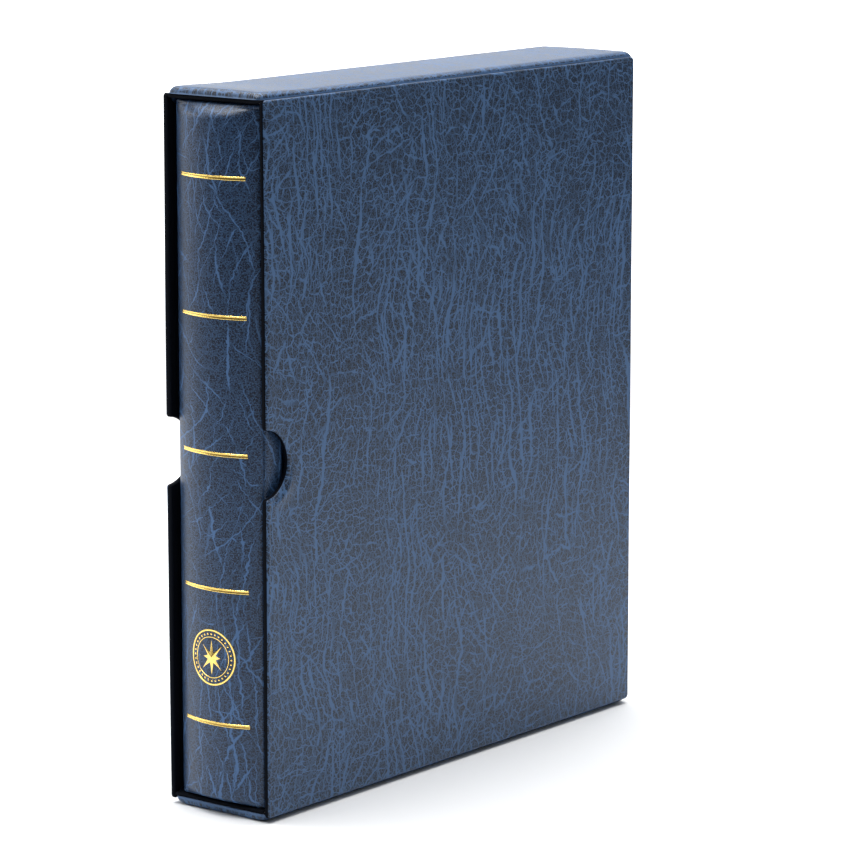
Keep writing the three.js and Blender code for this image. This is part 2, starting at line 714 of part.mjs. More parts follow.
const binder = new THREE.Group();
binder.add(
  albumCover(),
  coverBoard('cover_board_front', 1),
  coverBoard('cover_board_back', -1),
  spineBoard(),
  hingeStrip('hinge_strip_front', 1),
  hingeStrip('hinge_strip_back', -1),
  albumLining(),
  spineMedallion(),
  ringRail(),
  rivet('rail_rivet_top', RIVET_OFFSET),
  rivet('rail_rivet_bottom', -RIVET_OFFSET),
  leverPin('lever_pin_top', 1),
  leverPin('lever_pin_bottom', -1),
  lever('ring_lever_top', 1),
  lever('ring_lever_bottom', -1),
  blade('ring_blade_left', -1),
  blade('ring_blade_right', 1),
  ...pages(),
);
for (let i = 0; i < BAND_COUNT; i += 1) binder.add(foilBand(i));
RING_OFFSETS.forEach((offset, i) => {
  binder.add(halfRing(`half_ring_left_${i + 1}`, -1, offset));
  binder.add(halfRing(`half_ring_right_${i + 1}`, 1, offset));
});

const object = new THREE.Group();
object.position.y = -MIDDLE_Y;
object.add(slipcase, binder);

const root = new THREE.Group();
root.add(object);

export default root;
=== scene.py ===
import json
import math

import bmesh
import bpy
from mathutils import Matrix, Vector, noise


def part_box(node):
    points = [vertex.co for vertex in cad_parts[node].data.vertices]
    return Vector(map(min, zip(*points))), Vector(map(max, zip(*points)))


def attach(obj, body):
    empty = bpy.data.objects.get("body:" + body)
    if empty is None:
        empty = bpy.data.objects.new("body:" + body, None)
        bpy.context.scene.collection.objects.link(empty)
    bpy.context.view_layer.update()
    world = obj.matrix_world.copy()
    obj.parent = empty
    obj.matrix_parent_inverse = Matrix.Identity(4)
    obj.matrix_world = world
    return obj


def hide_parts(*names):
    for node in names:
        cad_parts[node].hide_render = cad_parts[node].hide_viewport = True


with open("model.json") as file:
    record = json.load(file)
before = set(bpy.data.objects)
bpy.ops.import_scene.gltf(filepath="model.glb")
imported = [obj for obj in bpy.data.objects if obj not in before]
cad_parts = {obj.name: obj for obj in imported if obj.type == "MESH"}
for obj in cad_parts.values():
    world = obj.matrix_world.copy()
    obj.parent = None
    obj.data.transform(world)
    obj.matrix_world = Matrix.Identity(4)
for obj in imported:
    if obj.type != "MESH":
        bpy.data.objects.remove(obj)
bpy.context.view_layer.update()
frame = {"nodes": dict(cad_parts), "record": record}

# A coin album in its slipcase. Shapes are worked out in millimetres and scaled to metres when a piece is
# made. Every covered piece carries "cloth": where each of its points lies on the flat covering material, in
# millimetres. The grain follows it round edges and turn-ins.

MM = 0.001

# ---------------------------------------------------------------- places read from the frame


def box_mm(node):
    low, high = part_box(node)
    return low / MM, high / MM


panel_low, panel_high = box_mm("case_cover_right")
cover_low, cover_high = box_mm("album_cover")
roof_high = box_mm("case_board_top")[1]
floor_low = box_mm("case_board_bottom")[0]
band_low, band_high = box_mm("case_lining_band")

MOUTH = panel_low.y
PANEL_BACK = panel_high.y
PANEL_FOOT = panel_low.z
PANEL_TOP = panel_high.z
PANEL_THICKNESS = panel_high.x - panel_low.x
PANEL_CORNER = 2.0  # radius of a side panel's two back corners
FRONT_CORNER = 1.2  # and of its two front corners
PANEL_BOW = 0.4  # its front edge stands out this far at half height
PANEL_MIDDLE = (PANEL_FOOT + PANEL_TOP) / 2
NOTCH_RADIUS = 13.3
NOTCH_Y = MOUTH - 0.5
NOTCH_LIP = 1.2  # radius of the notch's rounded lips
SKIN = 0.35  # thickness of the leatherette
LINING_PAPER = 0.08  # thickness of the lining paper

STRIP_BASE_TOP = PANEL_TOP + 0.1  # the strip lies on these three planes
STRIP_BASE_BACK = PANEL_BACK + 0.1
STRIP_BASE_FOOT = floor_low.z - 0.05
STRIP_HALF = 23.35  # half its width
STRIP_PADDING = 2.0  # its height over the top and down the back
STRIP_SHOULDER = 3.4  # width of the rounding along its sides
STRIP_LIP = 0.45  # height of its cut edge
STRIP_FLARE = 0.3  # the cut edge of its covering stands out this far
STRIP_END = 2.6  # the ends at the mouth are rounded over this length and drawn in this far

BOOK_HALF = cover_high.x
BOOK_FOOT = cover_low.z
BOOK_TOP = cover_high.z
BOOK_HEIGHT = BOOK_TOP - BOOK_FOOT
FORE_EDGE = cover_high.y
SPINE_RADIUS = 37.0
SHOULDER_RADIUS = 2.5  # between the spine's curve and the covers' flat faces
SPINE_CENTRE_Y = cover_low.y + SPINE_RADIUS
HINGE_Y = MOUTH + 16.0
HINGE_DEPTH = 0.85  # the covering is pressed in this far along the hinges
JOINT_DEPTH = 0.95  # and this far along the spine board's edges
JOINT_WIDTH = 0.65  # about half the width of that crease
COVER_THICKNESS = 2.7
FLAT_Y = MOUTH + 1.6  # the spine's bulge dies out to this plane
HEAD_REACH = 5.4  # over this distance from its head
TAIL_REACH = 3.2  # and over this distance from its tail

# Each covering is cut from its own part of the leatherette, so that no two have the same grain.
PANEL_CLOTH = 400
STRIP_CLOTH = 900
COVER_CLOTH = 800

# ---------------------------------------------------------------- surfaces


class Surface:
    """Points with their places on the flat cloth, and the faces between them, in millimetres."""

    def __init__(self):
        self.bm = bmesh.new()
        self.cloth = self.bm.verts.layers.float_vector.new("cloth")
        self.rim = self.bm.verts.layers.float_vector.new("rim")

    def point(self, place, cloth):
        vert = self.bm.verts.new(Vector(place) * MM)
        vert[self.cloth] = Vector(cloth)
        return vert

    def row(self, places, cloths=None):
        cloths = cloths or [(0.0, 0.0, 0.0)] * len(places)
        return [self.point(place, cloth) for place, cloth in zip(places, cloths)]

    def face(self, verts):
        self.bm.faces.new(verts)

    def join(self, a, b, closed):
        """The band of quads between two rows of equal length."""
        count = len(a)
        for i in range(count if closed else count - 1):
            j = (i + 1) % count
            self.face([a[i], a[j], b[j], b[i]])

    def grid(self, rows, closed=False):
        for a, b in zip(rows, rows[1:]):
            self.join(a, b, closed)

    def mesh(self, name):
        bmesh.ops.remove_doubles(self.bm, verts=self.bm.verts, dist=1e-7)
        bmesh.ops.dissolve_degenerate(self.bm, edges=self.bm.edges, dist=1e-8)
        bmesh.ops.recalc_face_normals(self.bm, faces=self.bm.faces)
        for face in self.bm.faces:
            face.smooth = True
        mesh = bpy.data.meshes.new(name)
        self.bm.to_mesh(mesh)
        self.bm.free()
        return mesh


def add_piece(name, mesh, material, body, stands_for=(), sharp=None):
    """Puts a mesh into the scene and ties it to its body and the nodes that it stands for."""
    piece = bpy.data.objects.new(name, mesh)
    bpy.context.scene.collection.objects.link(piece)
    piece.data.materials.append(material)
    if sharp:
        mesh.set_sharp_from_angle(angle=math.radians(sharp))
    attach(piece, body)
    if stands_for:
        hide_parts(*stands_for)
    return piece


def thicken(piece, thickness):
    """Gives a skin its thickness, inwards."""
    solid = piece.modifiers.new("thickness", "SOLIDIFY")
    solid.thickness = thickness * MM
    solid.offset = -1.0
    return piece


def arc(cx, cy, radius, start, end, steps):
    """Points on a circle from start to end, in degrees, with both ends."""
    angles = [math.radians(start + (end - start) * i / steps) for i in range(steps + 1)]
    return [(cx + radius * math.cos(a), cy + radius * math.sin(a)) for a in angles]


def between(p, q, steps):
    """The points between p and q, without its ends."""
    return [
        (p[0] + (q[0] - p[0]) * i / steps, p[1] + (q[1] - p[1]) * i / steps)
        for i in range(1, steps)
    ]


def rolled_edge(thickness, reach, fall, inner, turn_in, face_insets):
    """Rings of (inset, depth) from the outer face round an edge to the end of the turn-in.

    The outer corner is a quarter of an ellipse, reach wide and fall deep. The inner one is a quarter circle.
    """
    steps = 8
    rings = [(inset, 0.0) for inset in face_insets]
    for i in range(steps + 1):
        a = math.pi / 2 * i / steps
        rings.append((reach * (1 - math.sin(a)), fall * (1 - math.cos(a))))
    for i in range(steps // 2 + 1):
        a = math.pi / 2 * i / (steps // 2)
        rings.append((inner * (1 - math.cos(a)), thickness - inner * (1 - math.sin(a))))
    rings += [(turn_in / 2, thickness), (turn_in, thickness)]
    return rings


def unrolled(rings):
    """How far each ring lies from the outline on the flat cloth: negative beyond the edge."""
    flat = [rings[0][0]]
    for (a, b), (c, d) in zip(rings, rings[1:]):
        flat.append(flat[-1] - math.hypot(c - a, d - b))
    return flat


def drift(place, wavelength, size):
    """A smooth unevenness of a hand-covered surface, the same for every layer at one place."""
    spot = Vector(place) / wavelength
    shifts = (Vector((0.0, 0.0, 0.0)), Vector((31.4, 5.2, 0.0)), Vector((7.7, 47.2, 12.6)))
    return Vector([noise.noise(spot + shift) for shift in shifts]) * size


# ---------------------------------------------------------------- slipcase


def panel_front(inset):
    """The front edge of a side panel in Y and Z, from its head round the thumb notch to its foot."""
    front = MOUTH + inset
    corner = max(FRONT_CORNER - inset, 0.02)
    high = PANEL_TOP - inset - corner
    low = PANEL_FOOT + inset + corner
    lip = max(NOTCH_LIP - inset, 0.02)
    notch = NOTCH_RADIUS + inset
    lip_y = front + lip
    lip_rise = math.sqrt((notch + lip) ** 2 - (lip_y - NOTCH_Y) ** 2)
    spread = math.degrees(math.atan2(lip_rise, lip_y - NOTCH_Y))
    top_corner = arc(front + corner, high, corner, 90, 180, 8)
    foot_corner = arc(front + corner, low, corner, 180, 270, 8)
    upper = arc(lip_y, PANEL_MIDDLE + lip_rise, lip, 180, 180 + spread, 6)
    lower = arc(lip_y, PANEL_MIDDLE - lip_rise, lip, 180 - spread, 180, 6)
    notch_edge = arc(NOTCH_Y, PANEL_MIDDLE, notch, spread, -spread, 72)[1:-1]
    return (
        top_corner + between(top_corner[-1], upper[0], 24) + upper + notch_edge + lower
        + between(lower[-1], foot_corner[0], 24) + foot_corner
    )


def panel_outline(inset):
    """A side panel's outline in Y and Z, with the same number of points for every inset."""
    corner = max(PANEL_CORNER - inset, 0.02)
    back = PANEL_BACK - inset
    low = PANEL_FOOT + inset
    high = PANEL_TOP - inset
    foot_back = arc(back - corner, low + corner, corner, -90, 0, 8)
    top_back = arc(back - corner, high - corner, corner, 0, 90, 8)
    front = panel_front(inset)
    return (
        foot_back + between(foot_back[-1], top_back[0], 44)
        + top_back + between(top_back[-1], front[0], 40)
        + front + between(front[-1], foot_back[0], 40)
    )


def notch_rumple(y, z):
    """How far the covering stands proud round the thumb notch, where it is pulled over a curved edge.

    It is pulled hardest at the notch's lower right, where a ridge stands a little way off the edge.
    """
    off_y = y - NOTCH_Y
    off_z = z - PANEL_MIDDLE
    beyond = math.hypot(off_y, off_z) - NOTCH_RADIUS
    if beyond > 9 or y < MOUTH - 1:
        return 0.0
    angle = math.degrees(math.atan2(off_z, off_y))
    pulled = math.exp(-(((angle + 48) / 24) ** 2))
    ripple = (0.08 + 0.18 * pulled) * noise.noise(Vector((angle / 5.5, beyond / 4, 3.0)))
    fold = 0.18 * pulled - 0.30 * math.exp(-(((angle + 84) / 7) ** 2))
    ridge = 0.75 * pulled * math.exp(-(((beyond - 3.2) / 1.7) ** 2))
    return ridge + math.exp(-max(beyond, 0.0) / 2.8) * (ripple - fold)


def panel_place(side, y, z, depth, rumpled=True):
    """A point of a side panel: depth is measured in from its outer face."""
    wave = drift((0.0, y, z), 45, 0.16)
    proud = notch_rumple(y, z) * max(0.0, 1 - depth / 1.2) if rumpled else 0.0
    up = (z - PANEL_FOOT) / (PANEL_TOP - PANEL_FOOT)
    bow = PANEL_BOW * math.sin(math.pi * up) * math.exp(-(((y - MOUTH) / 7) ** 2))
    x = panel_high.x - depth + proud + bow * (1 - depth / PANEL_THICKNESS) + wave.x * 0.4
    return (side * x, y + wave.y, z + wave.z)


def side_panel_skin(name, side, material):
    """The leatherette on a side panel, rolled over its edges and turned in."""
    rings = rolled_edge(PANEL_THICKNESS, 0.95, 0.85, 0.6, 12, [14, 9, 6, 4, 3, 2.5, 2.2, 1.95, 1.7, 1.4])
    shift = PANEL_CLOTH * side
    surface = Surface()
    rows = []
    for (inset, depth), flat in zip(rings, unrolled(rings)):
        places = []
        for y, z in panel_outline(inset):
            crease = 0.13 * math.exp(-(((inset - 1.95) / 0.3) ** 2)) if depth < 0.5 else 0.0
            crease *= 0.7 + noise.noise(Vector((y / 25, z / 25, 17.0 * side)))
            places.append(panel_place(side, y, z, depth + crease))
        cloths = [(y + shift, z, 0.0) for y, z in panel_outline(flat)]
        rows.append(surface.row(places, cloths))
    surface.grid(rows, closed=True)
    surface.face(rows[0])
    skin = add_piece(
        name, surface.mesh(name), material, "slipcase",
        [f"case_cover_{'right' if side > 0 else 'left'}"],
    )
    return thicken(skin, SKIN)


def panel_edging(name, side, material):
    """The black lining paper that wraps the inner half of a side panel's front edge and of its notch."""
    proud = 0.1  # it lies this far off the leatherette
    start = 0.72  # and starts this far in from the outer face
    inner = 0.6 + proud
    depth_in = PANEL_THICKNESS + proud
    rings = [(0.0, start - 0.1), (-proud, start), (-proud, 1.3)]
    rings += [
        (inner * (1 - math.cos(a)) - proud, depth_in - inner * (1 - math.sin(a)))
        for a in [math.pi / 2 * i / 5 for i in range(6)]
    ]
    rings += [(2.5, depth_in), (6.0, depth_in)]
    surface = Surface()
    rows = []
    for (inset, depth), flat in zip(rings, unrolled(rings)):
        places = [panel_place(side, y, z, depth, False) for y, z in panel_front(inset)]
        cloths = [(flat, z, 0.0) for _, z in panel_front(0)]
        rows.append(surface.row(places, cloths))
    surface.grid(rows)
    edging = add_piece(name, surface.mesh(name), material, "slipcase")
    return thicken(edging, LINING_PAPER)


def mouth_edging(name, top, material):
    """The lining paper that wraps the front edge of the top or bottom board."""
    half = roof_high.x + 0.04
    over_corners = panel_high.x - 0.9  # the front face fills the panels' rounded corners
    front = MOUTH + 0.12
    radius = 0.5
    if top:
        rim, face, turn = STRIP_BASE_TOP - 0.05, band_high.z - 0.28, 1.0
    else:
        rim, face, turn = STRIP_BASE_FOOT + 0.05, band_low.z + 0.16, -1.0
    profile = [(front + 0.3, rim), (front, rim - turn * 0.15), (front, (rim + face) / 2)]
    for i in range(6):
        a = math.pi / 2 * i / 5
        profile.append((front + radius * (1 - math.cos(a)), face + turn * radius * (1 - math.sin(a))))
    profile += [(front + 4, face), (front + 9, face)]
    surface = Surface()
    columns = 30
    rows = []
    for i, (y, z) in enumerate(profile):
        reach = over_corners if i < 3 else half
        xs = [-reach + 2 * reach * k / columns for k in range(columns + 1)]
        places = [Vector((x, y, z)) + drift((x, 0, z), 30, 0.08) for x in xs]
        rows.append(surface.row(places, [(x, y, 0.0) for x in xs]))
    surface.grid(rows)
    edging = add_piece(name, surface.mesh(name), material, "slipcase")
    return thicken(edging, LINING_PAPER)


def strip_path():
    """The padded strip's base line in Y and Z: from the mouth over the top, down the back, under the foot.

    Each point comes with its outward direction and with its share of the foot's section, which is 0 over the
    top and down the back and 1 under the foot. The distances along the line are the second result.
    """
    corner = PANEL_CORNER + 0.1
    front = MOUTH + 0.15
    ends = [-STRIP_FLARE, 0.0, 0.03, 0.1, 0.22, 0.4, 0.62, 0.9, 1.25, 1.65, 2.1, 2.7, 3.5, 4.6, 6.5]
    line = [(front + e, STRIP_BASE_TOP, 0.0, 1.0, 0.0) for e in ends]
    back = STRIP_BASE_BACK - corner
    line += [(y, STRIP_BASE_TOP, 0.0, 1.0, 0.0) for y, _ in between((front + 6.5, 0), (back, 0), 60)]
    high = STRIP_BASE_TOP - corner
    low = STRIP_BASE_FOOT + corner
    for y, z in arc(back, high, corner, 90, 0, 10):
        line.append((y, z, (y - back) / corner, (z - high) / corner, 0.0))
    line += [(STRIP_BASE_BACK, z, 1.0, 0.0, 0.0) for z, _ in between((high, 0), (low, 0), 70)]
    for i, (y, z) in enumerate(arc(back, low, corner, 0, -90, 10)):
        line.append((y, z, (y - back) / corner, (z - low) / corner, i / 10))
    line += [(y, STRIP_BASE_FOOT, 0.0, -1.0, 1.0) for y, _ in between((back, 0), (front + 6.5, 0), 60)]
    line += [(front + e, STRIP_BASE_FOOT, 0.0, -1.0, 1.0) for e in reversed(ends)]
    along = [-STRIP_FLARE]
    for a, b in zip(line, line[1:]):
        along.append(along[-1] + math.hypot(b[0] - a[0], b[1] - a[1]))
    return line, along


def rounding(distance, reach):
    """A quarter circle's rise from 0 at the edge to 1 at the given reach."""
    share = min(max(distance / reach, 0.0), 1.0)
    return math.sqrt(1 - (1 - share) ** 2)


def strip_row(surface, spot, s, from_end):
    """One cross-section of the padded strip: crowned, with soft shoulders and a flared cut edge.

    Beside its cloth, each point's rim holds its place across the strip, whether it is on the cut edge,
    which gets a painted highlight for the light its lip catches, and how near to an edge it is.
    """
    y, z, out_y, out_z, foot = spot
    across = 60
    uneven = noise.noise(Vector((s / 22, 7.0, 0.0)))
    front = rounding(from_end, STRIP_END)
    half = STRIP_HALF + 0.12 * uneven - STRIP_END * (1 - rounding(from_end, 4.2))
    height = STRIP_PADDING + 0.7 * math.exp(-(((from_end - 4) / 17) ** 2))  # fuller near the mouth
    height += (STRIP_BASE_FOOT - height) * foot
    shoulder = STRIP_SHOULDER + 1.0 * foot
    lip = STRIP_LIP + 0.5 * foot
    crown = 0.25 * (1 - foot) + 0.05 * uneven * (1 - foot)
    row = []
    for i in range(across + 1):
        t = -math.cos(math.pi * i / across)  # crowds the points on the shoulders
        x = half * t
        rise = rounding(half - abs(x), shoulder) * front
        h = lip + (height - lip) * rise + crown * (1 - t * t) * front if from_end >= 0 else 0.1
        cloth = (s - h * (1 - front) + STRIP_CLOTH, x * 1.08, 0.0)
        vert = surface.point((x, y + out_y * h, z + out_z * h), cloth)
        inside = min(from_end + h * 0.6, half - abs(x) + h * 0.3)
        # painted highlight: the strip's low cut edge is flagged to take the light valley colour, a light line
        # for the light its lip catches
        painted_edge_highlight = 1.0 if h < lip + 0.01 else 0.0
        vert[surface.rim] = Vector((x + t * max(from_end, 0.0), painted_edge_highlight, max(0.0, 1 - inside / 4.5)))
        row.append(vert)
    edge = half + STRIP_FLARE
    # the flat cut edge itself also carries the painted highlight (the rim's Y of 1.0)
    for x, h in ((edge, 0.1), (edge, 0.0), (-edge, 0.0), (-edge, 0.1)):
        vert = surface.point((x, y + out_y * h, z + out_z * h), (s + STRIP_CLOTH, x * 1.08, 0.0))
        vert[surface.rim] = Vector((x, 1.0, 1.0))
        row.append(vert)
    return row


def padded_strip(material):
    """The padded strip round the top, back and foot, closed at both ends."""
    line, along = strip_path()
    length = along[-1] - STRIP_FLARE
    surface = Surface()
    rows = [strip_row(surface, spot, s, min(s, length - s)) for spot, s in zip(line, along)]
    surface.grid(rows, closed=True)
    surface.face(rows[0])
    surface.face(rows[-1])
    strip = add_piece(
        "padded_strip", surface.mesh("padded_strip"), material, "slipcase",
        ["case_strip"],
    )
    return strip


# ---------------------------------------------------------------- binder covers

SHOULDER_X = BOOK_HALF - SHOULDER_RADIUS
SPINE_TURN = math.asin(SHOULDER_X / (SPINE_RADIUS - SHOULDER_RADIUS))
SHOULDER_Y = SPINE_CENTRE_Y - (SPINE_RADIUS - SHOULDER_RADIUS) * math.cos(SPINE_TURN)
ARM = FORE_EDGE - SHOULDER_Y
SHOULDER_LENGTH = SHOULDER_RADIUS * (math.pi / 2 - SPINE_TURN)
SPINE_LENGTH = 2 * SPINE_RADIUS * SPINE_TURN
COVER_LENGTH = 2 * (ARM + SHOULDER_LENGTH) + SPINE_LENGTH
SPINE_MIDDLE = COVER_LENGTH / 2
JOINT = ARM + SHOULDER_LENGTH / 2  # the covering is creased here, along the spine board's edge


def book_frame(s):
    """The place and outward direction in X and Y on the binder's outer surface, s along it."""
    mirror = s > SPINE_MIDDLE
    t = COVER_LENGTH - s if mirror else s
    if t <= ARM:
        x, y, angle = -BOOK_HALF, FORE_EDGE - t, math.pi
    elif t <= ARM + SHOULDER_LENGTH:
        angle = math.pi + (t - ARM) / SHOULDER_RADIUS
        x = -SHOULDER_X + SHOULDER_RADIUS * math.cos(angle)
        y = SHOULDER_Y + SHOULDER_RADIUS * math.sin(angle)
    else:
        angle = math.pi * 1.5 - (SPINE_MIDDLE - t) / SPINE_RADIUS
        x = SPINE_RADIUS * math.cos(angle)
        y = SPINE_CENTRE_Y + SPINE_RADIUS * math.sin(angle)
    out_x, out_y = math.cos(angle), math.sin(angle)
    return (-x, y, -out_x, out_y) if mirror else (x, y, out_x, out_y)


def bulge_lost(z):
    """How much of the spine's bulge is gone at this height: all of it at the head and at the tail."""
    head = max(0.0, 1 - (BOOK_HEIGHT - z) / HEAD_REACH)
    tail = max(0.0, 1 - z / TAIL_REACH)
    return min(1.0, head ** 1.5 + tail ** 1.7)


def book_place(s, z, depth):
    """A point of the cover: s round it from the back cover's free edge, z up from its foot."""
    x, y, out_x, out_y = book_frame(s)
    outside = max(0.0, 1 - depth / 1.5)
    groove = 0.0
    if abs(x) > BOOK_HALF - 0.01:
        groove = HINGE_DEPTH * math.exp(-(((y - HINGE_Y) / 2.3) ** 4)) * outside
    from_joint = min(abs(s - JOINT), abs(COVER_LENGTH - s - JOINT))
    groove += JOINT_DEPTH * math.exp(-((from_joint / JOINT_WIDTH) ** 2)) * outside
    wave = 0.07 * noise.noise(Vector((s / 26, z / 34, 11.0)))
    inwards = depth + groove - wave
    x -= out_x * inwards
    y -= out_y * inwards
    y += bulge_lost(z) * max(0.0, FLAT_Y + depth - y)
    return (x, y, BOOK_FOOT + z)


def cover_samples():
    """Where the cover's outer face is sampled along s, closest on the curves and the hinges."""
    steps = [8.0 * i for i in range(1, 27)]
    hinge = ARM - (HINGE_Y - SHOULDER_Y)
    steps = [s for s in steps if s < hinge - 6]
    steps += [hinge + 0.5 * i for i in range(-10, 11)]
    steps += [hinge + 6 + 1.2 * i for i in range(int((ARM - hinge - 7) / 1.2) + 1)]
    steps += [ARM + SHOULDER_LENGTH * i / 12 for i in range(13)]
    half_spine = 24
    steps += [
        ARM + SHOULDER_LENGTH + SPINE_LENGTH / 2 * i / half_spine for i in range(1, half_spine)
    ]
    return sorted(steps + [SPINE_MIDDLE] + [COVER_LENGTH - s for s in steps])


def sheet_outline(inset, length, height, along, up):
    """A rectangle's outline drawn in by inset, sampled at the given places along it and up it."""
    round_off = 1.6
    corner = max(round_off - inset, 0.0)
    c = max(round_off, inset)

    def side(values, size):
        return [min(max(v, c), size - c) for v in values]

    low_side = [(s, inset) for s in side(along, length)]
    high_side = [(s, height - inset) for s in side(reversed(along), length)]
    far_side = [(length - inset, z) for z in side(up, height)]
    near_side = [(inset, z) for z in side(reversed(up), height)]
    return (
        low_side + arc(length - c, c, corner, -90, 0, 5)
        + far_side + arc(length - c, height - c, corner, 0, 90, 5)
        + high_side + arc(c, height - c, corner, 90, 180, 5)
        + near_side + arc(c, c, corner, 180, 270, 5)
    )


def album_cover(material):
    """The binder's leatherette in one sheet, rolled over the boards' edges and turned in."""
    along = cover_samples()
    up = [BOOK_HEIGHT * i / 34 for i in range(1, 34)]
    face_insets = [8.0, 6.8, 5.8, 4.9, 4.1, 3.4, 2.8, 2.4, 2.1, 1.85, 1.6, 1.35, 1.1]
    rings = rolled_edge(COVER_THICKNESS, 0.95, 0.9, 0.8, 12, face_insets)
    surface = Surface()
    rows = []
    for (inset, depth), flat in zip(rings, unrolled(rings)):
        places = []
        for s, z in sheet_outline(inset, COVER_LENGTH, BOOK_HEIGHT, along, up):
            edge = min(z, BOOK_HEIGHT - z)
            pinch = 0.24 * math.exp(-(((edge - 1.75) / 0.4) ** 2)) if depth < 0.9 else 0.0
            pinch *= 0.75 + 0.7 * noise.noise(Vector((s / 2.3, z / 40, 5.0)))
            places.append(book_place(s, z, depth + pinch))
        cloths = [
            (s, z + COVER_CLOTH, 0.0)
            for s, z in sheet_outline(flat, COVER_LENGTH, BOOK_HEIGHT, along, up)
        ]
        rows.append(surface.row(places, cloths))
    surface.grid(rows, closed=True)
    edge = rings[0][0]
    columns = [edge] + [s for s in along if edge < s < COVER_LENGTH - edge] + [COVER_LENGTH - edge]
    levels = [edge] + [z for z in up if edge < z < BOOK_HEIGHT - edge] + [BOOK_HEIGHT - edge]
    face_rows = [
        surface.row(
            [book_place(s, z, 0.0) for s in columns],
            [(s, z + COVER_CLOTH, 0.0) for s in columns],
        )
        for z in levels
    ]
    surface.grid(face_rows)
    cover = add_piece(
        "binder_cover", surface.mesh("binder_cover"), material, "binder",
        ["album_cover"],
    )
    return thicken(cover, SKIN)


def spine_board(material):
    """The curved board in the spine with its side flanges. Its ends are flattened like the cover's."""
    outer, inner = 0.45, 2.25
    flange_end = ARM - (MOUTH + 13 - SHOULDER_Y)
    along = [s for s in cover_samples() if flange_end < s < COVER_LENGTH - flange_end]
    ends = [0.45, 0.8, 1.3, 2.0, 3.0, 4.2, 5.4, 7.0, 12.0]
    up = ends + [BOOK_HEIGHT * i / 20 for i in range(1, 20)] + [BOOK_HEIGHT - z for z in reversed(ends)]
    surface = Surface()
    rows = []
    for s in [flange_end] + along + [COVER_LENGTH - flange_end]:
        places = [book_place(s, z, outer) for z in up] + [book_place(s, z, inner) for z in reversed(up)]
        rows.append(surface.row(places))
    surface.grid(rows, closed=True)
    surface.face(rows[0])
    surface.face(rows[-1])
    return add_piece(
        "curved_spine_board", surface.mesh("curved_spine_board"), material, "binder",
        ["spine_board"], sharp=40,
    )


# ---------------------------------------------------------------- gilding

FOIL_FLOAT = 0.02  # the foil lies this far off the leatherette


def foil_place(u, v, middle_z, height):
    """A point of foil u along and v up from the spine's middle line, height off the leatherette."""
    return book_place(SPINE_MIDDLE + u, middle_z - BOOK_FOOT + v, -FOIL_FLOAT - height)


def foil_band(index, material):
    """A foil band: two raised rims with a milled hollow between them, pressed a little unevenly."""
    low, high = box_mm(f"foil_band_{index}")
    middle_z = (low.z + high.z) / 2
    half_height = (high.z - low.z) / 2
    half_length = SPINE_RADIUS * math.asin(high.x / SPINE_RADIUS)
    profile = [(-1.0, 0.0), (-0.93, 0.10), (-0.72, 0.17), (-0.5, 0.12), (-0.3, 0.06), (0.0, 0.05),
               (0.3, 0.06), (0.5, 0.12), (0.72, 0.17), (0.93, 0.10), (1.0, 0.0)]
    steps = 150
    surface = Surface()
    rows = []
    for i in range(steps + 1):
        u = -half_length + 2 * half_length * i / steps
        ragged = 0.05 * noise.noise(Vector((u / 1.7, index * 5.0, 0.0)))
        places, cloths = [], []
        for v, h in profile:
            mill = 0.035 * math.sin(u * 5.2 + v * 1.4) * (1 - abs(v)) if 0 < i < steps else 0.0
            end = 0.0 if i in (0, steps) else 1.0
            places.append(foil_place(u, v * half_height + ragged * abs(v), middle_z, end * (h + mill)))
            cloths.append((u, v, float(index)))
        rows.append(surface.row(places, cloths))
    surface.grid(rows)
    name = f"gilt_band_{index}"
    return add_piece(name, surface.mesh(name), material, "binder", [f"foil_band_{index}"])


def foil_ring(surface, middle_z, inner, outer, height):
    """A flat ring with soft rims."""
    steps = 96
    profile = [(inner, 0.0), (inner + 0.06, height), (outer - 0.06, height), (outer, 0.0)]
    rows = []
    for radius, h in profile:
        angles = [2 * math.pi * i / steps for i in range(steps)]
        spots = [(radius * math.cos(a), radius * math.sin(a)) for a in angles]
        places = [foil_place(u, v, middle_z, h) for u, v in spots]
        rows.append(surface.row(places, [(u, v, 9.0) for u, v in spots]))
    surface.grid(rows, closed=True)


def foil_dome(surface, middle_z, u0, v0, radius, height):
    """A small round boss."""
    steps = 12
    rows = []
    for share, h in [(1.0, 0.0), (0.85, 0.55), (0.5, 0.9)]:
        spots = [
            (u0 + radius * share * math.cos(2 * math.pi * i / steps),
             v0 + radius * share * math.sin(2 * math.pi * i / steps))
            for i in range(steps)
        ]
        places = [foil_place(u, v, middle_z, height * h) for u, v in spots]
        rows.append(surface.row(places, [(u, v, 9.0) for u, v in spots]))
    surface.grid(rows, closed=True)
    top = surface.point(foil_place(u0, v0, middle_z, height), (u0, v0, 9.0))
    for i in range(steps):
        surface.face([rows[-1][i], rows[-1][(i + 1) % steps], top])


def foil_star(surface, middle_z, points, outer, inner, height):
    """A faceted star: its ridges run from the raised middle to the tips."""
    top = surface.point(foil_place(0, 0, middle_z, height), (0, 0, 9.0))
    rim = []
    for i in range(2 * points):
        a = math.pi / 2 + math.pi * i / points
        radius = outer if i % 2 == 0 else inner
        u, v = radius * math.cos(a), radius * math.sin(a)
        rim.append(surface.point(foil_place(u, v, middle_z, 0.0), (u, v, 9.0)))
    for i in range(2 * points):
        surface.face([rim[i], rim[(i + 1) % (2 * points)], top])


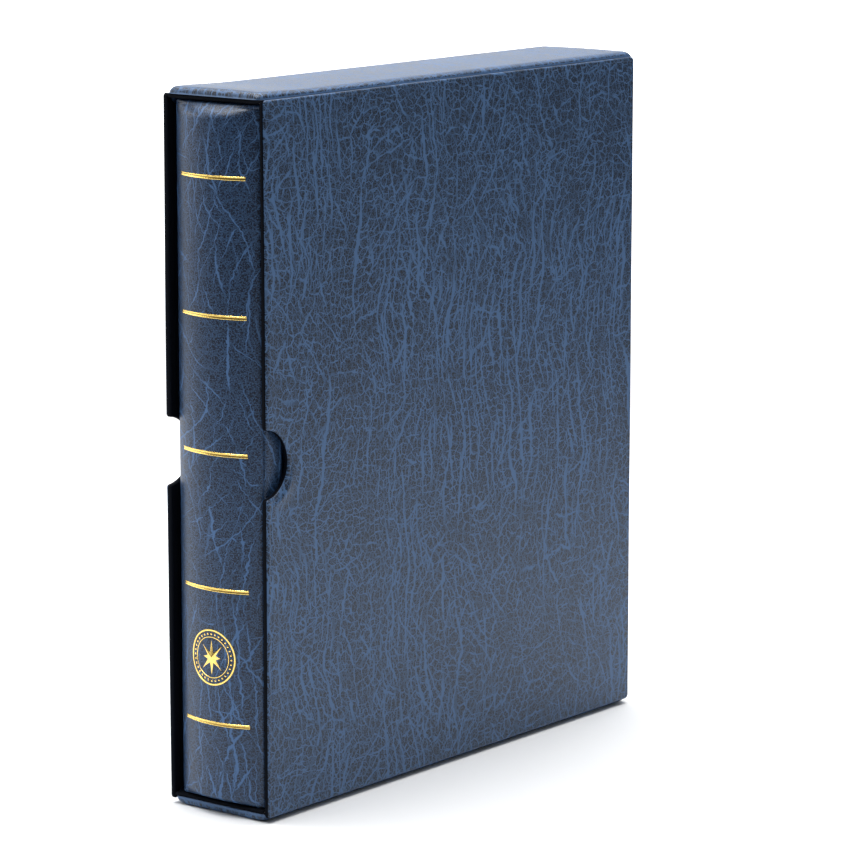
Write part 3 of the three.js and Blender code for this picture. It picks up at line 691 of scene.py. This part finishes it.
def medallion(material):
    """A plain coin in foil: a rim, a ring of beads and a star."""
    low, high = box_mm("spine_medallion")
    middle_z = (low.z + high.z) / 2
    radius = high.x
    surface = Surface()
    foil_ring(surface, middle_z, radius - 0.7, radius, 0.14)
    foil_ring(surface, middle_z, radius - 3.2, radius - 2.85, 0.12)
    beads = 32
    for i in range(beads):
        a = 2 * math.pi * i / beads
        spot = radius - 1.85
        foil_dome(surface, middle_z, spot * math.cos(a), spot * math.sin(a), 0.42, 0.18)
    foil_star(surface, middle_z, 8, radius - 4.2, 2.1, 0.35)
    return add_piece(
        "gilt_medallion", surface.mesh("gilt_medallion"), material, "binder",
        ["spine_medallion"], sharp=25,
    )


# ---------------------------------------------------------------- ring mechanism

RING_RADIUS = 13.5
WIRE_RADIUS = 1.5
TIP_GAP = 0.25
RING_FOOT_X = 5.6  # the wire ends this far from the middle, on its blade


def half_ring(side, index, material):
    """A half ring of round wire, from its domed tip down to the blade."""
    name = f"half_ring_{'right' if side > 0 else 'left'}_{index}"
    low, high = box_mm(name)
    z = (low.z + high.z) / 2
    centre_y = high.y - WIRE_RADIUS - RING_RADIUS
    tip, turn, steps = 89, 114, 26  # in degrees: it starts just past the top and turns down this far
    angles = [tip - turn * i / steps for i in range(steps + 1)]
    line = [
        Vector((RING_RADIUS * math.cos(a), centre_y + RING_RADIUS * math.sin(a), 0))
        for a in map(math.radians, angles)
    ]
    line[0].x = TIP_GAP
    foot_y = low.y + WIRE_RADIUS + 0.05
    bend = line[-1]
    for share in (0.35, 0.6, 0.8, 1.0):
        x = bend.x + (RING_FOOT_X - bend.x) * share
        line.append(Vector((x, foot_y + (bend.y - foot_y) * (1 - share) ** 2.2, 0)))
    around = 20
    surface = Surface()
    rows = []
    for i, spot in enumerate(line):
        ahead = line[min(i + 1, len(line) - 1)] - line[max(i - 1, 0)]
        out = Vector((ahead.y, -ahead.x, 0)).normalized()
        radius = WIRE_RADIUS * (0.72 if i == 0 else 1.0)
        places = []
        for k in range(around):
            a = 2 * math.pi * k / around
            offset = out * (radius * math.cos(a)) + Vector((0, 0, radius * math.sin(a)))
            places.append((side * (spot.x + offset.x), spot.y + offset.y, z + offset.z))
        rows.append(surface.row(places, [(i, k, 0.0) for k in range(around)]))
    surface.grid(rows, closed=True)
    surface.face(rows[0])
    surface.face(rows[-1])
    body = "right_rings" if side > 0 else "left_rings"
    mesh = surface.mesh(name)
    return add_piece(f"wire_{name}", mesh, material, body, [name], sharp=50)


# ---------------------------------------------------------------- materials


class Nodes:
    """Short calls for building one material's nodes."""

    def __init__(self, name):
        self.material = bpy.data.materials.new(name)
        self.material.use_nodes = True
        self.tree = self.material.node_tree
        self.shader = self.tree.nodes["Principled BSDF"]

    def add(self, kind, inputs=(), **settings):
        node = self.tree.nodes.new(kind)
        for key, value in settings.items():
            setattr(node, key, value)
        for key, value in dict(inputs).items():
            self.plug(value, node.inputs[key])
        return node

    def plug(self, value, socket):
        if isinstance(value, bpy.types.NodeSocket):
            self.tree.links.new(value, socket)
        elif value is not None:
            socket.default_value = value

    def place(self):
        """Where this point lies, in metres, in the frame."""
        return self.add("ShaderNodeTexCoord").outputs["Object"]

    def cloth(self):
        return self.add("ShaderNodeAttribute", attribute_name="cloth").outputs["Vector"]

    def math(self, operation, a, b=None):
        node = self.add("ShaderNodeMath", operation=operation)
        self.plug(a, node.inputs[0])
        self.plug(b, node.inputs[1])
        return node.outputs[0]

    def vector(self, operation, a, b):
        node = self.add("ShaderNodeVectorMath", operation=operation)
        self.plug(a, node.inputs[0])
        if operation == "SCALE":
            self.plug(b, node.inputs["Scale"])
        else:
            self.plug(b, node.inputs[1])
        return node.outputs[0]

    def turn(self, vector, degrees):
        node = self.add("ShaderNodeVectorRotate", {"Vector": vector}, rotation_type="Z_AXIS")
        node.inputs["Angle"].default_value = math.radians(degrees)
        return node.outputs[0]

    def noise(self, vector, scale, detail=2.0, roughness=0.5):
        node = self.add(
            "ShaderNodeTexNoise",
            {"Vector": vector, "Scale": scale, "Detail": detail, "Roughness": roughness},
        )
        return node.outputs["Fac"], node.outputs["Color"]

    def cell_edges(self, vector):
        """Distance to the nearest edge of a pattern of cells about one unit wide."""
        node = self.add(
            "ShaderNodeTexVoronoi",
            {"Vector": vector, "Scale": 1.0},
            feature="DISTANCE_TO_EDGE",
            voronoi_dimensions="2D",
        )
        return node.outputs["Distance"]

    def remap(self, value, low, high, to_low=0.0, to_high=1.0):
        node = self.add(
            "ShaderNodeMapRange",
            {"Value": value, "From Min": low, "From Max": high, "To Min": to_low, "To Max": to_high},
            interpolation_type="SMOOTHSTEP",
        )
        return node.outputs["Result"]

    def blend(self, share, a, b):
        node = self.add("ShaderNodeMix", data_type="RGBA")
        self.plug(share, node.inputs["Factor"])
        self.plug(a, node.inputs["A"])
        self.plug(b, node.inputs["B"])
        return next(o for o in node.outputs if o.type == "RGBA")

    def bump(self, height, strength, distance):
        node = self.add(
            "ShaderNodeBump", {"Height": height, "Strength": strength, "Distance": distance * MM}
        )
        self.plug(node.outputs["Normal"], self.shader.inputs["Normal"])

    def set(self, **values):
        for key, value in values.items():
            self.plug(value, self.shader.inputs[key.replace("_", " ")])
        return self.material


def leatherette(name, plateau, valley, size, bold, calm, slant, net):
    """Two-tone leatherette: dark plateaus parted by lighter valleys, from a fine crackle to long veins.

    size scales the distances between veins and bold their widths. calm thins out the upright veins and slant
    adds slanted ones. net is how clearly the cells between the veins show.
    """
    n = Nodes(name)
    flat = n.cloth()
    _, slow = n.noise(flat, 0.014 / size, 2.0)
    _, quick = n.noise(flat, 0.30, 3.0, 0.6)
    slow = n.vector("SCALE", n.vector("SUBTRACT", slow, (0.5, 0.5, 0.5)), 30.0 * size)
    quick = n.vector("SCALE", n.vector("SUBTRACT", quick, (0.5, 0.5, 0.5)), 3.2)
    bent = n.vector("ADD", n.vector("ADD", flat, slow), quick)

    def patches(width, height, share, shift):
        """Soft-edged patches of about the given size that cover about the given share."""
        moved = n.vector("MULTIPLY", n.vector("ADD", flat, shift), (1 / width, 1 / height, 0.0))
        spread, _ = n.noise(moved, 1.0, 1.0)
        middle = 0.5 + 0.24 * (0.5 - share)
        return n.remap(spread, middle - 0.05, middle + 0.05)

    def veins(base, degrees, spacing, length, width, share, shift):
        """Long lines about spacing apart that swell and taper away. share is how much of them shows."""
        turned = n.turn(n.vector("ADD", base, (shift, 0.0, 0.0)), degrees)
        stretched = n.vector("MULTIPLY", turned, (0.25 / spacing, 0.7 / length, 0.0))
        sway, _ = n.noise(stretched, 1.0, 1.0)
        parts = n.add("ShaderNodeSeparateXYZ", {"Vector": turned})
        swayed = n.math("MULTIPLY", sway, 2.4)
        across = n.math("ADD", n.math("DIVIDE", parts.outputs["X"], spacing), swayed)
        line = n.math("FLOOR", across)
        from_line = n.math("ABSOLUTE", n.math("SUBTRACT", n.math("FRACT", across), 0.5))
        off = n.math("MULTIPLY", from_line, spacing)
        track = n.add("ShaderNodeCombineXYZ", {
            "X": n.math("MULTIPLY", line, 7.31),
            "Y": n.math("DIVIDE", parts.outputs["Y"], length),
        })
        swell, _ = n.noise(track.outputs[0], 1.0, 3.0, 0.6)
        start = 0.65 - 0.35 * share
        reach = n.remap(swell, start, start + 0.20, 0.0, width / 2)
        edge = n.math("DIVIDE", n.math("SUBTRACT", reach, off), 0.2)
        return n.math("MINIMUM", n.math("MAXIMUM", n.math("ADD", edge, 0.5), 0.0), 1.0)

    def crackle(base, width, height, line, softness):
        """Thin lines between cells of about the given size."""
        edge = n.cell_edges(n.vector("MULTIPLY", base, (1 / width, 1 / height, 0.0)))
        return n.math("SUBTRACT", 1.0, n.remap(edge, line, line + softness))

    def most(*masks):
        total = masks[0]
        for mask in masks[1:]:
            total = n.math("MAXIMUM", total, mask)
        return total

    def within(mask, *limits):
        for limit in limits:
            mask = n.math("MULTIPLY", mask, limit)
        return mask

    busy = patches(48 * size, 110 * size, 1 - calm, (31.0, 7.0, 0.0))
    leaning = patches(50 * size, 80 * size, slant, (131.0, 57.0, 0.0))
    leaning_back = patches(45 * size, 70 * size, 1.4 * slant, (231.0, 107.0, 0.0))
    linked = patches(30 * size, 30 * size, 0.60, (331.0, 157.0, 0.0))
    edge_place = n.add("ShaderNodeAttribute", attribute_name="rim").outputs["Vector"]
    edge_parts = n.add("ShaderNodeSeparateXYZ", {"Vector": edge_place}).outputs
    pleats = within(veins(edge_place, 0, 6.5, 9.0, 1.3, 0.85, 0.0), n.remap(edge_parts["Z"], 0.0, 0.5))
    long_veins = most(
        veins(bent, 2, 9.0 * size, 42 * size, 1.3 * bold, 0.60, 20.0),
        within(veins(bent, -3, 4.4 * size, 30 * size, 1.15 * bold, 0.74, 70.0), busy),
        within(veins(bent, -29, 6.0 * size, 22 * size, 1.0 * bold, 0.62, 160.0), leaning),
        within(veins(bent, 35, 6.4 * size, 22 * size, 1.0 * bold, 0.62, 210.0), leaning_back),
        within(veins(bent, 78, 6.5 * size, 13 * size, 0.8 * bold, 0.62, 260.0), linked, net),
        veins(bent, -64, 12 * size, 16 * size, 0.95 * bold, 0.50, 310.0),
    )
    uneven, _ = n.noise(flat, 0.11, 2.0)
    crossing = n.remap(uneven, 0.30, 0.55, 0.55, 1.0)
    cells = within(crackle(bent, 3.2 * size, 3.8 * size, 0.045, 0.03), crossing, net)
    speckle, _ = n.noise(flat, 0.40, 2.0)
    spread = n.remap(speckle, 0.34, 0.62, 0.08, 0.72)
    small = within(crackle(flat, 1.7, 1.5, 0.05, 0.06), spread, 0.35 + 0.65 * net)
    specks, _ = n.noise(flat, 1.8, 1.0)
    specks = n.remap(specks, 0.53, 0.61, 0.0, 0.60)
    # the rim's Y paints a highlight on the strip's cut edge in the light valley colour
    light = most(long_veins, pleats, cells, small, specks, n.math("MULTIPLY", edge_parts["Y"], 0.9))
    shade, _ = n.noise(flat, 0.012, 2.0)
    deep = tuple(c * 0.75 for c in plateau[:3]) + (1.0,)
    ground = n.blend(n.remap(shade, 0.35, 0.65), deep, plateau)
    colour = n.blend(light, ground, valley)
    n.bump(n.math("SUBTRACT", 1.0, light), 0.3, 0.12)
    rough = n.remap(light, 0.0, 1.0, 0.36, 0.50)
    return n.set(Base_Color=colour, Roughness=rough, IOR=1.45, Specular_IOR_Level=0.45)


def lining_paper(name, colour, roughness, gloss=0.5):
    """Paper or card with a faint fibre."""
    n = Nodes(name)
    fibre, _ = n.noise(n.vector("MULTIPLY", n.place(), (900, 500, 260)), 1.0, 3.0)
    cloud, _ = n.noise(n.place(), 35, 2.0)
    lighter = tuple(min(1.0, c * 1.7) for c in colour[:3]) + (1.0,)
    tint = n.blend(n.math("MULTIPLY", n.math("ADD", fibre, cloud), 0.5), colour, lighter)
    n.bump(fibre, 0.2, 0.05)
    n.set(Specular_IOR_Level=gloss)
    return n.set(Base_Color=tint, Roughness=n.remap(cloud, 0.3, 0.7, roughness - 0.06, roughness + 0.06))


def greyboard(name):
    """Pressed grey board, flecked with darker and lighter fibre."""
    n = Nodes(name)
    flecks, _ = n.noise(n.place(), 1400, 2.0)
    layers, _ = n.noise(n.vector("MULTIPLY", n.place(), (2600, 200, 200)), 1.0, 2.0)
    tint = n.blend(n.remap(flecks, 0.35, 0.65), (0.20, 0.18, 0.155, 1), (0.34, 0.31, 0.27, 1))
    tint = n.blend(n.remap(layers, 0.62, 0.75), tint, (0.12, 0.11, 0.10, 1))
    n.bump(flecks, 0.4, 0.1)
    return n.set(Base_Color=tint, Roughness=n.remap(flecks, 0.3, 0.7, 0.85, 0.95))


def woven_cloth(name):
    """Plain-woven hinge cloth."""
    n = Nodes(name)
    parts = n.add("ShaderNodeSeparateXYZ", {"Vector": n.place()})
    warp = n.math("SINE", n.math("MULTIPLY", parts.outputs["Y"], 9000))
    weft = n.math("SINE", n.math("MULTIPLY", parts.outputs["Z"], 9000))
    weave = n.math("MULTIPLY", warp, weft)
    tint = n.blend(n.remap(weave, -1, 1), (0.008, 0.009, 0.012, 1), (0.025, 0.028, 0.035, 1))
    n.bump(weave, 0.4, 0.1)
    return n.set(Base_Color=tint, Roughness=n.remap(weave, -1, 1, 0.8, 0.95))


def gold_foil(name):
    """Hot-pressed foil: bright on the rims, browner and rougher in the bands' hollows and to the right, where
    the browning is painted shade for the dim room in front that the gold reflects.
    """
    n = Nodes(name)
    parts = n.add("ShaderNodeSeparateXYZ", {"Vector": n.cloth()})
    hollow = n.math("SUBTRACT", 1.0, n.remap(n.math("ABSOLUTE", parts.outputs["Y"]), 0.15, 0.6))
    on_band = n.math("LESS_THAN", parts.outputs["Z"], 8.0)
    flecks, _ = n.noise(n.cloth(), 2.2, 3.0)
    # painted shade: the bands brown towards the right, standing for the dim front reflected in the gold there
    to_the_right = n.remap(parts.outputs["X"], -11, 2, 0.3, 1.0)
    flecks_and_painted_shade = n.math("MULTIPLY", n.remap(flecks, 0.3, 0.7, 0.35, 1.0), to_the_right)
    hollows_and_painted_shade = n.math("MULTIPLY", n.math("MULTIPLY", hollow, on_band), flecks_and_painted_shade)
    bright = n.blend(n.remap(flecks, 0.35, 0.7), (0.86, 0.60, 0.15, 1), (0.93, 0.70, 0.23, 1))
    tint = n.blend(hollows_and_painted_shade, bright, (0.30, 0.16, 0.04, 1))
    n.bump(flecks, 0.3, 0.08)
    return n.set(Base_Color=tint, Metallic=1.0, Roughness=n.remap(hollows_and_painted_shade, 0.0, 1.0, 0.24, 0.42))


def metal(name, colour, roughness, brushed):
    """Plated or bare steel. brushed is how strongly it is drawn out along Z."""
    n = Nodes(name)
    streaks, _ = n.noise(n.vector("MULTIPLY", n.place(), (2400, 2400, 60)), 1.0, 2.0)
    smears, _ = n.noise(n.place(), 120, 3.0)
    dull = tuple(c * 0.82 for c in colour[:3]) + (1.0,)
    tint = n.blend(n.remap(smears, 0.35, 0.7), colour, dull)
    n.bump(streaks, brushed, 0.02)
    rough = n.remap(n.math("ADD", streaks, smears), 0.7, 1.3, roughness, roughness + 0.14)
    return n.set(Base_Color=tint, Metallic=1.0, Roughness=rough)


def pocket_film(name):
    """Clear soft film with welded seams between the pockets and a slight haze."""
    n = Nodes(name)
    parts = n.add("ShaderNodeSeparateXYZ", {"Vector": n.place()})
    seams = None
    for axis, pitch in (("Y", 0.0475), ("Z", 0.0495)):
        cycle = n.math("PINGPONG", n.math("ADD", parts.outputs[axis], 0.007), pitch / 2)
        seam = n.math("SUBTRACT", 1.0, n.remap(cycle, 0.0009, 0.0015))
        seams = seam if seams is None else n.math("MAXIMUM", seams, seam)
    haze, _ = n.noise(n.place(), 60, 3.0)
    n.bump(n.math("ADD", seams, n.math("MULTIPLY", haze, 0.3)), 0.5, 0.15)
    tint = n.blend(seams, (0.80, 0.86, 0.90, 1), (0.92, 0.95, 0.97, 1))
    alpha = n.math("ADD", n.remap(haze, 0.3, 0.7, 0.20, 0.30), n.math("MULTIPLY", seams, 0.35))
    return n.set(Base_Color=tint, Roughness=n.remap(haze, 0.3, 0.7, 0.10, 0.22), Alpha=alpha, IOR=1.45)


DARK_BLUE = (0.0050, 0.0090, 0.0175, 1)
DEEP_BLUE = (0.0036, 0.0098, 0.0250, 1)
LIGHT_BLUE = (0.053, 0.119, 0.247, 1)
CLEAR_BLUE = (0.052, 0.124, 0.270, 1)
CASE_LEATHERETTE = leatherette(
    "case_leatherette", DARK_BLUE, LIGHT_BLUE, size=1.0, bold=1.0, calm=0.45, slant=0.42, net=1.0
)
BINDER_LEATHERETTE = leatherette(
    "binder_leatherette", DEEP_BLUE, CLEAR_BLUE, size=1.1, bold=0.75, calm=0.75, slant=0.90, net=0.35
)
LINING = lining_paper("lining_paper", (0.0010, 0.0018, 0.0040, 1), 0.8, 0.06)
ENDPAPER = lining_paper("endpaper", (0.010, 0.018, 0.040, 1), 0.75)
GREYBOARD = greyboard("greyboard")
HINGE_CLOTH = woven_cloth("hinge_cloth")
GOLD = gold_foil("gold_foil")
NICKEL = metal("bright_nickel", (0.74, 0.74, 0.75, 1), 0.10, 0.05)
STEEL = metal("spring_steel", (0.52, 0.53, 0.55, 1), 0.26, 0.3)
FILM = pocket_film("pocket_film")
CARD = lining_paper("interleaf_card", (0.006, 0.006, 0.007, 1), 0.85)

SLOT_MATERIALS = {
    "case_leatherette": CASE_LEATHERETTE,
    "binder_leatherette": BINDER_LEATHERETTE,
    "greyboard": GREYBOARD,
    "lining_paper": LINING,
    "endpaper": ENDPAPER,
    "hinge_cloth": HINGE_CLOTH,
    "gold_foil": GOLD,
    "spring_steel": STEEL,
    "bright_nickel": NICKEL,
    "pocket_film": FILM,
    "interleaf_card": CARD,
}


def dress_nodes():
    """Gives every CAD node its material."""
    for part in frame["record"]["subparts"]:
        node = frame["nodes"][part["node"]]
        node.data.materials.clear()
        node.data.materials.append(SLOT_MATERIALS[part["material_slot"]])


# ---------------------------------------------------------------- studio


def camera():
    """Long lens, seen from the front right and a little above."""
    right, ahead, above = 972.76, 1112.48, 419.53  # from the mouth's middle and the panels' foot
    turned, tilted = 38.086, 10.337
    data = bpy.data.cameras.new("camera")
    data.lens = 167.41
    data.sensor_width = 36
    data.clip_end = 100
    view = bpy.data.objects.new("camera", data)
    view.location = Vector((right, MOUTH - ahead, PANEL_FOOT + above)) * MM
    yaw = Matrix.Rotation(math.radians(turned), 4, "Z")
    pitch = Matrix.Rotation(math.radians(90 - tilted), 4, "X")
    view.rotation_euler = (yaw @ pitch).to_euler()
    bpy.context.scene.collection.objects.link(view)
    bpy.context.scene.camera = view


def area_light(name, place, target, size, power):
    data = bpy.data.lights.new(name, "AREA")
    data.shape = "RECTANGLE"
    data.size, data.size_y = size
    data.energy = power
    light = bpy.data.objects.new(name, data)
    light.location = place
    light.rotation_euler = (Vector(target) - Vector(place)).to_track_quat("-Z", "Y").to_euler()
    bpy.context.scene.collection.objects.link(light)
    return light


def studio():
    """A white floor, a big overhead light, a fill from the left, a bright backdrop and a dim room in front."""
    bm = bmesh.new()
    bmesh.ops.create_circle(bm, cap_ends=True, segments=96, radius=0.75)
    mesh = bpy.data.meshes.new("floor")
    bm.to_mesh(mesh)
    bm.free()
    n = Nodes("floor")
    grain, _ = n.noise(n.place(), 8, 2.0)
    tint = n.blend(grain, (0.88, 0.89, 0.90, 1), (0.91, 0.92, 0.93, 1))
    floor = bpy.data.objects.new("floor", mesh)
    mesh.materials.append(n.set(Base_Color=tint, Roughness=0.9))
    bpy.context.scene.collection.objects.link(floor)

    area_light("overhead", (-0.20, 0.07, 1.5), (-0.12, 0.0, 0.0), (1.8, 1.8), 51)
    area_light("left_fill", (-1.5, -0.9, 0.7), (0.0, -0.1, 0.14), (0.9, 0.9), 9)
    glint = area_light("head_glint", (-0.35, -0.75, 1.40), (0.0, -0.1, 0.27), (0.30, 0.30), 10)
    glint.visible_diffuse = False  # it only shows as a reflection, on the spine's rounded head

    world = bpy.data.worlds.new("studio")
    bpy.context.scene.world = world
    world.use_nodes = True
    tree = world.node_tree
    out = tree.nodes["Background"]

    def calculate(operation, a, b, c=0.0):
        node = tree.nodes.new("ShaderNodeMath")
        node.operation = operation
        for socket, value in zip(node.inputs, (a, b, c)):
            if isinstance(value, bpy.types.NodeSocket):
                tree.links.new(value, socket)
            else:
                socket.default_value = value
        return node.outputs[0]

    def ramp(value, start, end, low, high):
        node = tree.nodes.new("ShaderNodeMapRange")
        node.interpolation_type = "SMOOTHSTEP"
        tree.links.new(value, node.inputs["Value"])
        for key, number in (("From Min", start), ("From Max", end), ("To Min", low), ("To Max", high)):
            node.inputs[key].default_value = number
        return node.outputs[0]

    split = tree.nodes.new("ShaderNodeSeparateXYZ")
    tree.links.new(tree.nodes.new("ShaderNodeTexCoord").outputs["Generated"], split.inputs[0])
    x, y, z = split.outputs
    behind = calculate("MULTIPLY_ADD", x, -0.8, calculate("MULTIPLY", y, 0.6))
    glow = calculate("MULTIPLY", ramp(behind, 0.30, 0.90, 0.0, 2.3), ramp(z, 0.10, 0.45, 1.0, 0.2))
    glow = calculate("MULTIPLY", glow, ramp(z, -0.35, 0.0, 0.15, 1.0))
    dim = calculate("MULTIPLY", ramp(z, -0.1, 0.6, 0.11, 0.40), ramp(y, -0.95, -0.1, 0.05, 1.0))
    glow = calculate("MAXIMUM", glow, dim)
    seen = tree.nodes.new("ShaderNodeLightPath").outputs["Is Camera Ray"]
    tree.links.new(calculate("MAXIMUM", glow, calculate("MULTIPLY", seen, 1.1)), out.inputs["Strength"])
    out.inputs["Color"].default_value = (1.0, 1.0, 1.0, 1.0)
    bpy.context.scene.view_settings.view_transform = "Standard"


# ---------------------------------------------------------------- the scene

camera()
studio()
dress_nodes()

for side, name in ((1, "right"), (-1, "left")):
    side_panel_skin(f"panel_skin_{name}", side, CASE_LEATHERETTE)
    panel_edging(f"panel_edging_{name}", side, LINING)
mouth_edging("mouth_edging_top", True, LINING)
mouth_edging("mouth_edging_bottom", False, LINING)
padded_strip(CASE_LEATHERETTE)
album_cover(BINDER_LEATHERETTE)
spine_board(GREYBOARD)
for index in range(1, 6):
    foil_band(index, GOLD)
medallion(GOLD)
for index in range(1, 5):
    half_ring(-1, index, NICKEL)
    half_ring(1, index, NICKEL)

bpy.context.view_layer.update()
